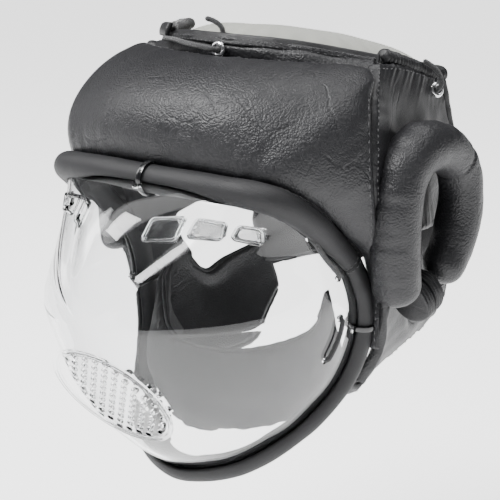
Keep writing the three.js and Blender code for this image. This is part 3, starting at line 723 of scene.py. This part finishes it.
def build_ties():
    """Cable ties: a strap round the tube and through a hole in the shell, with its locking head inside."""
    profile = [(9.15, -1.5), (9.15, 1.5), (9.6, 1.75), (10.1, 1.6), (10.35, 0.9), (10.35, -0.9), (10.1, -1.6),
               (9.6, -1.75)]
    angles = turns(72)
    teeth = 0.12 * np.sign(np.sin(angles * 40))
    for name, at in TIES.items():
        centre, leave, across, tangent = rim_frame(at)
        rings = []
        for angle, tooth in zip(angles, teeth):
            out = math.cos(angle) * leave + math.sin(angle) * across
            rings.append([centre + out * (r + (tooth if r > 10 else 0) * 0.5) + tangent * h
                          for r, h in profile])
        strap = loft(np.array([*rings, rings[0]]), capped=False)
        out = unit(-across * 0.86 - leave * 0.5)
        side = np.cross(tangent, out)
        corners = [(-2.6, -2.6), (2.6, -2.6), (2.6, 2.6), (-2.6, 2.6)]
        base = rounded([centre + out * 10.2 + x * tangent + y * side for x, y in corners], 0.8, 4)
        head = [base + out * height + (base - base.mean(0)) * (size - 1)
                for height, size in ((-1.2, 0.9), (-0.9, 1.0), (1.9, 1.0), (2.4, 0.88))]
        piece = add_piece(name + "_strap", *merge([strap, loft(np.array(head))]), tie_plastic, name)
        piece.data.set_sharp_from_angle(angle=math.radians(40))
        weld(piece)


def round_cord(route, radius):
    """A slightly lumpy round cord along a smooth route."""
    path = resample(curve_at(route, np.linspace(0, 1, 120)), 0.8)
    twist = 1 + 0.05 * np.cos(np.arange(len(path)) * 1.9)
    return loft(tube(path, radius * twist, 14))


def build_lashings():
    """Short cords, each in at one hole beside the rim and out at the other."""
    for name, route in LASHINGS.items():
        surface_points = [on_dome(np.array(p, float)) for p in route]
        lifted = [p + n * 1.5 for p, n in surface_points]
        (first, n0), (last, n1) = surface_points[0], surface_points[-1]
        path = [first - n0 * 4.2, first - n0 * 1.2, lifted[0] * 0.8 + lifted[1] * 0.2, lifted[1],
                lifted[2] * 0.8 + lifted[1] * 0.2, last - n1 * 1.2, last - n1 * 4.2]
        add_piece(f"lashing_cord_{name}", *round_cord(path, 1.5), cord_cloth, f"lashing_{name}")


# ---- forehead cushion ---------------------------------------------------------
CUSHION_SEAM = [(95, -50, -46), (101, -62, 0), (107, -78, 45), (107, -82, 70), (98, -71, 104),
                (83, -49.5, 120), (45, -73, 124), (0, -82, 124)]
CUSHION_FRONT = [(88.5, -50, -46), (91, -60, 8), (90, -83, 32), (86.5, -106, 52), (76, -124, 64.5),
                 (60, -132.5, 67.5), (34, -136, 68), (0, -138, 68.5)]
CUSHION_BULGE = np.array([0, 1, 4, 8, 14, 21, 25, 27], float)


def cushion_line(v, heights):
    """A line across the cushion, raised by heights; v runs from its seam (0) to its front edge (1)."""
    seam, front = np.array(CUSHION_SEAM, float), np.array(CUSHION_FRONT, float)
    p = seam + (front - seam) * v
    out = unit(np.stack([p[:, 0] * 0.25, p[:, 1] + 30, 45 * np.arange(8) / 7], axis=1))
    return whole(p + out * heights[:, None])


def seam_puckers(distance, along, pitch, depth, reach, seed):
    """Small gathers that stand square to a seam and fade with distance from it."""
    rng = np.random.default_rng(seed)
    phase = rng.uniform(0, 6.28, 4)
    wave = sum(np.sin(along * 2 * math.pi / (pitch * k) + p) for k, p in zip((1, 1.37, 0.71, 2.3), phase))
    return depth * (wave / 2.2) * np.exp(-distance / reach)


def clear_of_tube(grid):
    """Pushes points out of the edging tube, so that the leather rests on it."""
    line = curve_at(RIM, np.linspace(0, 1, 900, endpoint=False), closed=True)
    points = grid.reshape(-1, 3)
    nearest = np.concatenate([line[np.argmin(((block[:, None] - line) ** 2).sum(-1), axis=1)]
                              for block in np.array_split(points, 40)])
    away = points - nearest
    far = np.linalg.norm(away, axis=1, keepdims=True)
    return (nearest + away * np.maximum(1, (RIM_RADIUS + 0.25) / np.maximum(far, 1e-6))).reshape(grid.shape)


def build_cushion():
    """The puffed leather cushion over the face, sewn to the crown band and resting on the edging tube."""
    down, wide = 96, 300
    us, vs = np.linspace(0, 1, wide), np.linspace(0, 1, down)
    vs = 0.5 * vs + 0.5 * (1 - np.cos(np.pi * vs)) / 2
    rises = [math.sin(math.pi * v) ** 0.62 if 0 < v < 1 else 0.0 for v in vs]
    outer = np.stack([curve_at(cushion_line(v, CUSHION_BULGE * rise), us) for v, rise in zip(vs, rises)])
    flat = np.stack([curve_at(cushion_line(v, np.full(8, -6.5)), us) for v in vs])
    n = unit(outer - flat)
    steps = np.linalg.norm(np.diff(outer, axis=0), axis=2)
    to_seam = np.concatenate([np.zeros((1, wide)), np.cumsum(steps, axis=0)])
    along = lengths(outer[down // 2])[None, :] * np.ones((down, 1))
    width = to_seam[-1:]
    to_front = width - to_seam
    room = np.clip(width / 60, 0.15, 1)
    dip = -2.2 * np.exp(-to_seam / 1.8) * room
    gathers = (seam_puckers(to_seam, along, 13, 0.9, 11, 5) * room
               + seam_puckers(to_front, along, 17, 0.6, 14, 6) * room)
    swells = 1.1 * ripple(outer, 85, 7) * room * np.clip(np.minimum(to_seam, to_front) / 18, 0, 1)
    outer = outer + n * (dip + gathers * np.clip(to_seam / 2.5, 0, 1) + swells)[..., None]
    outer, flat = clear_of_tube(outer), clear_of_tube(flat)
    cushion = add_piece("forehead_cushion_leather", *skins(outer, flat), grain_leather, "forehead_cushion")
    weld(cushion)
    beside_seam = np.argmax(to_seam > 3.2, axis=0), np.arange(wide)
    sew("forehead_cushion_stitches", outer, n, [(beside_seam, 3.2, 5.0, 0.36)])


BROW = [[(70, -62, 96), (44, -88, 98), (0, -99, 99)], [(74, -70, 80), (46, -96, 80), (0, -107, 80)],
        [(74, -76, 64), (46, -100, 62), (0, -110, 60)]]


def pad_piece(name, rows, thick, edge, material, node, shape, grid, flip=False, body=GUARD):
    """Makes a padded panel of so many points down and across, and returns its outer skin and normals."""
    if flip:
        rows = [mirror(row) for row in rows]
    verts, faces, outer, normal = padded_panel(rows, thick, edge, *grid, shape)
    weld(add_piece(name, verts, faces, material, node, body))
    return outer, normal


def both(build):
    """Builds a sub-part on the wearer's left and right; it is given for the left and flipped."""
    for side, flip in (("left", False), ("right", True)):
        build(side, flip)


# ---- crown ---------------------------------------------------------------------
BAND = [[(79, -34, 126), (44, -61.5, 133.6), (0, -77.5, 136.8)],
        [(83.5, -44, 119), (45, -68, 120.5), (0, -77.5, 120.5)]]
BAND_FOLD = [[(80, -31, 127.4), (44, -60.5, 135.8), (0, -76.3, 138.7)],
             [(81.6, -35, 121.5), (44.5, -64, 129.3), (0, -79.6, 132)]]
CROWN_SIDE = [(79, -29, 126), (80, 5, 116), (76, 44, 105), (60, 75, 101), (34, 93, 99), (0, 101, 98)]
CROWN_TAB = [[(-72, -45, 136.3), (-65, -51, 138), (-57, -56, 139)],
             [(-74, -46, 127.5), (-66, -53, 128.5), (-58, -59, 129.5)]]
HOOK_PAD = [[(-70, -44, 135), (-50, -58, 138.5)], [(-63, -36, 138.5), (-44, -49, 142)]]


def build_band():
    """The leather strip above the cushion, and the strip folded over its top edge."""
    rows = [whole(row) for row in BAND]
    rows.insert(1, (rows[0] + rows[1]) / 2 + [0, -1.2, 0])

    def crumple(p, du, dv, su, sv):
        channel = np.exp(-((sv / np.maximum(sv[-1:], 1) - 0.3) ** 2) / 0.006)
        return 0.5 * ripple(p, 21, 12) * np.clip(du / 6, 0, 1) - 0.9 * channel

    outer, normal = pad_piece("crown_band_leather", rows, 3, 1.4, grain_leather, "crown_band", crumple,
                              (30, 200))
    sew("crown_band_stitches", outer, normal, [(k, 2.8, 4.6, 0.34) for k in (4, 24)])
    outer, normal = pad_piece("crown_band_fold", [whole(row) for row in BAND_FOLD], 2.8, 1.3, smooth_leather,
                              "crown_binding", lambda p, *distances: 0.2 * ripple(p, 17, 13), (16, 200))
    sew("crown_fold_stitches", outer, normal, [(12, 2.4, 4.0, 0.3)])


def build_casing():
    """The gathered casing: the elastic inside draws the leather into close ruffles."""
    half = np.array(CROWN_SIDE, float)
    edge = np.concatenate([mirror(half), half[:-1][::-1]])
    path = resample(curve_at(edge, np.linspace(0, 1, 600)), 0.45)
    s = lengths(path)
    gather = np.clip(0.45 + 0.55 * ripple(path, 80, 14), 0.2, 1)[:, None]
    phase = (s * 2 * math.pi / 3.4 + 1.6 * ripple(path, 23, 15))[:, None]
    angle = turns(22)
    around = angle[None, :]
    ruffles = 0.95 * np.sin(phase + 0.7 * np.sin(around)) + 0.3 * np.sin(2.3 * phase + 2 * around)
    radius = 3.9 + gather * ruffles
    fade = np.sqrt(np.clip(rounded_end(np.minimum(s, s[-1] - s), 3), 0.05, 1))
    rings = path[:, None] + (radius * fade[:, None])[..., None] * spokes(angle, *frames_along(path)[1:])
    add_piece("crown_casing_gathered", *loft(rings), smooth_leather, "crown_casing")


def build_liner():
    """The light cloth cap that closes the crown, drawn in at its edge."""
    rings, across = 50, 200
    a, r = np.meshgrid(turns(across), np.linspace(0, 0.985, rings))
    x, y = 76 * np.cos(a) * r, 10 + 84 * np.sin(a) * r
    folds = 0.9 * np.sin(a * 34 + 2 * np.sin(3 * a)) * np.clip((r - 0.5) / 0.5, 0, 1) ** 2
    z = 137 - 40 * (y + 78) / 178 - 2 + 15 * (1 - r**4) + folds
    top = np.stack([x, y, z], -1)
    top[..., 2] += 0.7 * ripple(top, 60, 16)
    verts, faces = two_sides(top, top - [0, 0, 1.8], wrap=True)
    count = rings * across
    last = count - across
    for j in range(across):
        a, b = last + j, last + (j + 1) % across
        faces.append([a, b, b + count, a + count])
    weld(add_piece("crown_liner_cloth", verts, faces, liner_cloth, "crown_liner"))


def build_tab():
    """The hook-and-loop tab at the crown."""
    upper, lower = np.array(CROWN_TAB, float)
    rows = [CROWN_TAB[0], (upper * 0.5 + lower * 0.5 + [0, -1.5, 0]).tolist(), CROWN_TAB[1]]
    pad_piece("crown_tab_leather", rows, 3.4, 1.6, smooth_leather, "crown_tab", None, (20, 30))
    pad_piece("crown_hook_pad", HOOK_PAD, 7, 3, hook_loop, None,
              lambda p, *distances: 0.35 * ripple(p, 3.2, 17), (40, 50))


EYELETS = {"front": ((0, -82.2, 129.2), (0, -1, 0.1)), "left": ((87.2, 25, 99.4), (0.9, -0.4, 0.3)),
           "right": ((-87.2, 25, 99.4), (-0.9, -0.4, 0.3))}
DRAWCORD_SIDE = [(84, 26, 98.6), (88, 24.6, 99.8), (91.4, 22.6, 105), (89.6, 19, 112.5), (83, 14, 118.6)]
DRAWCORDS = {"front": [(0, -80.5, 129), (0, -83.6, 129.2), (-3, -86.5, 130), (-20, -84, 131),
                       (-38, -74.5, 131), (-54, -64, 129.5), (-58, -59, 129)],
             "end": [(-5, -70.2, 134), (-5, -70.2, 137.6), (-6.5, -70.5, 141), (-10, -72, 143.8),
                     (-15.4, -74, 145.6)],
             "left": DRAWCORD_SIDE, "right": mirror(DRAWCORD_SIDE)}


def build_crown_fittings():
    """Nickel eyelets, and the drawcord in its visible lengths."""
    profile = [(2.5, -0.75), (3.2, -0.85), (4.8, -0.75), (4.9, -0.3), (4.5, 0.35), (3.9, 0.85), (3.2, 1.0),
               (2.7, 0.75), (2.45, 0.2)]
    for name, (at, out) in EYELETS.items():
        out = unit(np.array(out, float))
        side = unit(np.cross(out, [0.1, 0.2, 1.0]))
        up = np.cross(out, side)
        rings = [[np.array(at) + r * (math.cos(a) * side + math.sin(a) * up) + h * out for r, h in profile]
                 for a in np.linspace(0, 2 * math.pi, 49)]
        ring = loft(np.array(rings), capped=False)
        weld(add_piece(f"eyelet_ring_{name}", *ring, nickel, f"eyelet_{name}"))
    for name, route in DRAWCORDS.items():
        add_piece(f"drawcord_{name}_cord", *round_cord(route, 1.55), cord_cloth, f"drawcord_{name}")


# ---- sides, jaw, chin and back ---------------------------------------------------
SIDE = [[(85, -43, 125), (84.5, -12, 120), (84, 16, 112.5), (81, 43, 104.5)],
        [(99, -68, 103), (94, -30, 96), (91, 8, 88), (84, 48, 82)],
        [(107.5, -80, 66), (102, -36, 58), (97, 8, 54), (86, 55, 50)],
        [(104, -70, 24), (101, -34, 20), (97, 8, 16), (86, 58, 14)]]
JAW = [[(100, -53, 2), (98, -38, 10), (95, -18, 10), (88, -8, -20), (83, 6, -42), (82, 32, -38),
        (77, 67, -32)],
       [(98, -45, -22), (94, -36, -24), (90, -22, -34), (85, -2, -50), (80, 14, -57), (78, 38, -50),
        (75, 70, -41)],
       [(94, -40, -44), (87, -34, -58), (76, -24, -70), (65, 0, -78), (64, 20, -75), (68, 42, -66),
        (69, 71, -57)],
       [(80, -39, -74), (70, -34, -84), (58, -20, -92), (50, 0, -92), (48, 18, -90), (57, 44, -80),
        (64, 69, -67)]]
CHEEK = [[(84, -78, 62), (82, -40, 64), (79, 0, 64), (76, 36, 62)],
         [(82, -76, 30), (82, -40, 34), (80, 0, 36), (76, 38, 34)],
         [(76, -68, 2), (80, -42, 6), (79, -6, 14), (76, 40, 16)]]
CHIN = [[(67, -60, -12), (59, -70, -37), (32, -96, -46), (0, -108, -46)],
        [(71, -52, -46), (66, -70, -62), (38, -104, -70), (0, -122, -70)],
        [(70, -40, -70), (60, -60, -88), (36, -90, -98), (0, -110, -100)]]
BACK = [[(79, 49.5, 103), (61.5, 73.5, 100), (34.5, 91.5, 98), (2.5, 99, 97)],
        [(84, 60.5, 50), (68, 86, 50), (38, 106, 50), (2.5, 112, 50)],
        [(84, 63, 12), (66, 86, 10), (37, 104, 10), (2.5, 110, 10)],
        [(77, 67, -48), (61, 85, -46), (31, 102.5, -38), (2.5, 107, -35)]]
SIDE_SEAM = [(77.6, 45.2, 104), (80.2, 50.4, 82), (82.8, 56.6, 50), (82.8, 59.4, 13)]
CLOSING_FLAP = [[(34, 104.2, 72), (0, 113, 72), (-42, 106.2, 72)],
                [(34, 113.8, 46), (0, 119.4, 46), (-43, 113.2, 46)],
                [(34, 110.6, 20), (0, 118, 20), (-43, 112, 20)]]
NAPE_STRAP = [[(34, 109.8, -6), (0, 117, -6), (-48, 107.5, -6)],
              [(34, 107, -30), (0, 114.6, -30), (-47, 105, -30)]]


def gathered_edge(pitch, depth, reach, seed, swell=0.5):
    """The relief of a panel: gathers along its edges, and soft swells."""
    def shape(p, du, dv, su, sv):
        relief = (seam_puckers(dv, su, pitch, depth, reach, seed)
                  + 0.5 * seam_puckers(du, sv, pitch * 1.3, depth, reach, seed + 1))
        return relief + swell * ripple(p, 55, seed + 2) + 0.25 * ripple(p, 19, seed + 3)
    return shape


def binding_along(name, path, radius, seed):
    """Leather binding folded over an edge: a soft, slightly uneven bead."""
    path = resample(path, 0.9)
    wobble = 1 + 0.07 * ripple(path, 8, seed)
    add_piece(name, *loft(tube(path, radius * wobble, 14, flat=0.85)), smooth_leather)


def build_side_panel(side, flip):
    outer, normal = pad_piece(f"side_panel_leather_{side}", SIDE, 11, 5, smooth_leather, f"side_panel_{side}",
                              gathered_edge(8, 0.7, 8, 21), (90, 160), flip)
    sew(f"side_panel_stitches_{side}", outer, normal,
        [(7, 3.0, 4.8, 0.34), (np.s_[6:-6, 8], 2.2, 3.6, 0.42)])


def build_jaw(side, flip):
    outer, normal = pad_piece(f"jaw_panel_leather_{side}", JAW, 7, 3.5, grain_leather, f"jaw_panel_{side}",
                              gathered_edge(11, 0.7, 9, 31), (80, 140), flip)
    for edge, path in (("lower", outer[-1, 2:-2]), ("rear", outer[2:-2, -1]), ("upper", outer[0, 40:-2])):
        binding_along(f"jaw_binding_{edge}_{side}", path, 2.2, 33)
    sew(f"jaw_panel_stitches_{side}", outer, normal,
        [(row, 2.8, 4.6, 0.34) for row in (np.s_[-9, 4:-4], np.s_[9, 44:-4])])


def build_cheek(side, flip):
    pad_piece(f"cheek_pad_lining_{side}", CHEEK, 8, 4, lining_cloth, f"cheek_pad_{side}",
              gathered_edge(14, 0.6, 10, 41), (60, 90), flip)


def build_back(side, flip):
    outer, normal = pad_piece(f"back_panel_leather_{side}", BACK, 11, 5, smooth_leather, f"back_panel_{side}",
                              gathered_edge(8, 0.8, 9, 51), (100, 130), flip)
    binding_along(f"back_binding_{side}", outer[-1, 2:-2], 2.3, 53)
    seam = curve_at(SIDE_SEAM, np.linspace(0, 1, 60))
    binding_along(f"side_seam_piping_{side}", mirror(seam) if flip else seam, 4.2, 55)
    sew(f"back_panel_stitches_{side}", outer, normal,
        [(row, 3.0, 4.8, 0.36) for row in (np.s_[-10, 4:-4], np.s_[9, 4:-4], np.s_[6:-6, 7])])


def build_flank(side, flip):
    for build in (build_side_panel, build_jaw, build_cheek, build_back):
        build(side, flip)


def build_chin():
    outer = pad_piece("chin_band_lining", [whole(row) for row in CHIN], 9, 4.5, lining_cloth, "chin_band",
                      gathered_edge(13, 0.7, 10, 61), (60, 200))[0]
    binding_along("chin_band_piping", outer[0, 3:-3] + [0, 0, 0.3], 1.5, 63)


def edge_loop(grid, inset):
    """A grid's points along a closed line, inset from its edge."""
    inside = slice(inset, -inset)
    return np.concatenate([grid[inset, inside], grid[inside, -inset], grid[-inset, inside][::-1],
                           grid[inside, inset][::-1]])


def build_closures():
    """The two rear closures, each sewn round its edge and across where its hook side begins."""
    inset = 9
    hooks = np.s_[inset:-inset, -15]
    for name, rows, body in (("closing_flap", CLOSING_FLAP, FLAP), ("nape_strap", NAPE_STRAP, NAPE)):
        if len(rows) == 2:
            upper, lower = np.array(rows, float)
            rows = [rows[0], ((upper + lower) / 2 + [0, 0.6, 0]).tolist(), rows[1]]
        outer, normal = pad_piece(name + "_leather", rows, 4, 1.8, grain_leather, name,
                                  gathered_edge(15, 0.2, 8, 71, 0.25), (60, 110), body=body)
        seams = [stitches(edge_loop(outer, inset), edge_loop(normal, inset), 3.0, 4.6, 0.36),
                 stitches(outer[hooks], normal[hooks], 3.0, 4.6, 0.36)]
        add_piece(name + "_stitches", *merge(seams), thread, body=body)


# ---- ear guards -----------------------------------------------------------------
EAR = [(107.5, -52, -14), (109, -57, 8), (109, -60, 34), (109.5, -57, 60), (111, -42, 75), (113, -16, 73),
       (114, 5, 58), (114, 10, 34), (112.5, 2, 8), (110, -13, -9)]
WRAP_START, WRAP_END = np.array([108.6, -20, -12.5]), np.array([106.4, -36, -17.5])


def build_ear_guard(side, flip):
    """A stuffed arm, sewn down along its front, which loops over the ear."""
    path = resample(curve_at(np.array(EAR, float), np.linspace(0, 1, 500)), 1.2)
    arc = lengths(path)
    s = arc / arc[-1]
    tips = np.minimum(1, np.minimum(s / 0.055, (1 - s) / 0.05))
    size = 15 * (0.93 + 0.12 * np.sin(np.pi * np.minimum(s * 1.6, 1)))
    size = size * np.sqrt(np.clip(rounded_end(tips, 1), 0.03, 1))
    size = size * (1 - 0.12 * np.clip((s - 0.85) / 0.15, 0, 1))
    size = size * (1 - 0.07 * np.exp(-((s - 0.63) / 0.006) ** 2))
    tangent = unit(np.gradient(path, axis=0))
    outward = np.tile([1.0, 0, 0], (len(path), 1))
    outward = unit(outward - np.sum(outward * tangent, -1, keepdims=True) * tangent)
    angle = turns(56)
    bend = np.linalg.norm(np.gradient(tangent, axis=0), axis=1)
    rings = path[:, None] + size[:, None, None] * spokes(angle, outward, np.cross(tangent, outward))
    inside = np.clip(-np.sin(angle), 0, 1)[None, :]
    folds = seam_puckers(0, arc[:, None], 11, 0.5, 1, 81) * inside**2 * np.clip(bend[:, None] * 60, 0, 1)
    relief = 0.5 * ripple(rings, 44, 82) + 0.1 * ripple(rings, 14, 83) - folds
    direction = unit(rings - path[:, None])
    rings = rings + direction * relief[..., None] * np.clip(tips, 0, 1)[:, None, None]
    seat = np.argmin(np.abs(angle - 2.15))
    row = seat - 3
    if flip:
        path, rings = mirror(path), mirror(rings)[:, ::-1]
        seat, row = len(angle) - 1 - seat, len(angle) - 1 - row
    guard = weld(add_piece(f"ear_guard_leather_{side}", *loft(rings), grain_leather, f"ear_guard_{side}"))
    sewn = (s > 0.03) & (s < 0.5)
    out = unit(rings[sewn, seat] - path[sewn])
    welt = resample(rings[sewn, seat] + out * 0.35, 0.8)
    thickness = 0.75 * (1 + 0.12 * ripple(welt, 5, 84))
    add_piece(f"ear_guard_welt_{side}", *loft(tube(welt, thickness, 10)), thread)
    add_piece(f"ear_guard_stitches_{side}", *stitches(rings[sewn, row], out, 2.6, 4.2, 0.34), thread)


def build_ear_wraps(side, flip):
    """Two leather bands that hold the ear guard's end to its foot."""
    whole_wrap = WRAP_END - WRAP_START
    for i, (start, end) in enumerate(((0.0, 0.47), (0.53, 1.0))):
        line = np.linspace(WRAP_START + whole_wrap * start, WRAP_START + whole_wrap * end, 26)
        along = np.linspace(0, 1, 26)
        radius = 13.6 + 0.35 * np.sin(along * 21 + i) + 0.5 * np.sin(np.pi * along)
        radius[[0, -1]] -= 1.6
        radius[[1, -2]] -= 0.5
        band = tube(line, radius, 48, round_ends=False)
        band = band + unit(band - line[:, None]) * (0.3 * ripple(band, 16, 85 + i))[..., None]
        band = mirror(band)[:, ::-1] if flip else band
        add_piece(f"ear_wrap_band_{side}_{i + 1}", *loft(band), smooth_leather, f"ear_wrap_{side}_{i + 1}")


def build_ear(side, flip):
    build_ear_guard(side, flip)
    build_ear_wraps(side, flip)


build_dome()
build_lips()
build_edging()
build_ties()
build_lashings()
build_cushion()
pad_piece("brow_pad_lining", [whole(row) for row in BROW], 8, 4, lining_cloth, "brow_pad",
          gathered_edge(14, 0.5, 9, 91), (50, 120))
build_band()
build_casing()
build_liner()
build_tab()
build_crown_fittings()
both(build_flank)
build_chin()
build_closures()
both(build_ear)

floor_corners = [(-6000, -6000, -300), (6000, -6000, -300), (6000, 9000, -300), (-6000, 9000, -300)]
floor = solid_object("studio_floor", floor_corners, [[0, 1, 2, 3]])
n = Nodes("pale_floor")
pale = n.ramp(n.noise(1.5, 2), [(0.2, 0.9), (0.8, 0.92)])
floor.data.materials.append(n.finish(Base_Color=pale, Roughness=0.9, Emission_Color=(1, 1, 1, 1),
                                     Emission_Strength=1.7))
